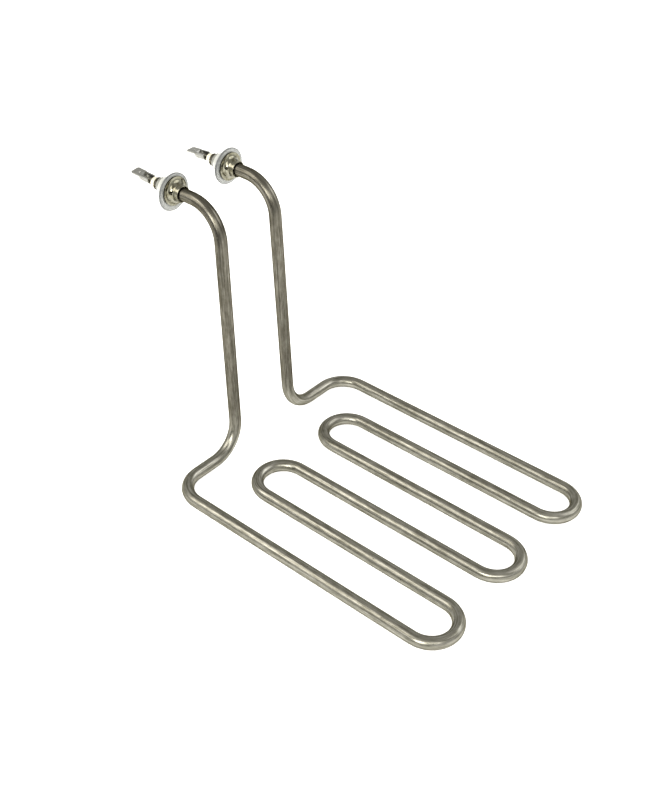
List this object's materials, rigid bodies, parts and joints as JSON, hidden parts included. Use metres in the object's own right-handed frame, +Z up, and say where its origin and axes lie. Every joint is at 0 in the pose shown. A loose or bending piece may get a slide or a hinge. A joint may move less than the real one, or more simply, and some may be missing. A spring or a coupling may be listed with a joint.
{
  "type": "tubular heating element",
  "caption": "Tubular heating element: one steel tube bent into a flat serpentine, with two upright legs and sealed cold ends that carry collars, silicone grommets, ceramic beads and spade tabs.",
  "frame": {"origin": "the middle of the footprint, on the surface that the flat serpentine rests on", "axes": "+X from the tabs to the front bends, along the straight runs; +Y from the near end to the far end, across the runs; +Z up along the legs"},
  "size_m": [0.2948, 0.176, 0.1855],
  "materials": {
    "sheath_steel": "drawn stainless steel, satin, with lengthwise draw lines",
    "coil_alloy": "bright resistance alloy wire",
    "magnesia": "pressed white powder",
    "pin_steel": "plated steel rod",
    "seal_compound": "cured silicone resin",
    "bead_ceramic": "unglazed cream steatite",
    "collar_nickel": "turned steel, bright nickel plate, slightly yellowed",
    "grommet_silicone": "translucent white silicone",
    "tab_steel": "pressed nickel-plated steel, dulled by welding near the pin"
  },
  "bodies": {
    "root": {"sheath_tube": "sheath_steel", "heating_coil": "coil_alloy", "magnesia_fill": "magnesia", "cold_pin_near": "pin_steel", "end_seal_near": "seal_compound", "ceramic_bead_near": "bead_ceramic", "flanged_collar_near": "collar_nickel", "wall_grommet_near": "grommet_silicone", "spade_tab_near": "tab_steel", "cold_pin_far": "pin_steel", "end_seal_far": "seal_compound", "ceramic_bead_far": "bead_ceramic", "flanged_collar_far": "collar_nickel", "wall_grommet_far": "grommet_silicone", "spade_tab_far": "tab_steel"}
  },
  "joints": []
}
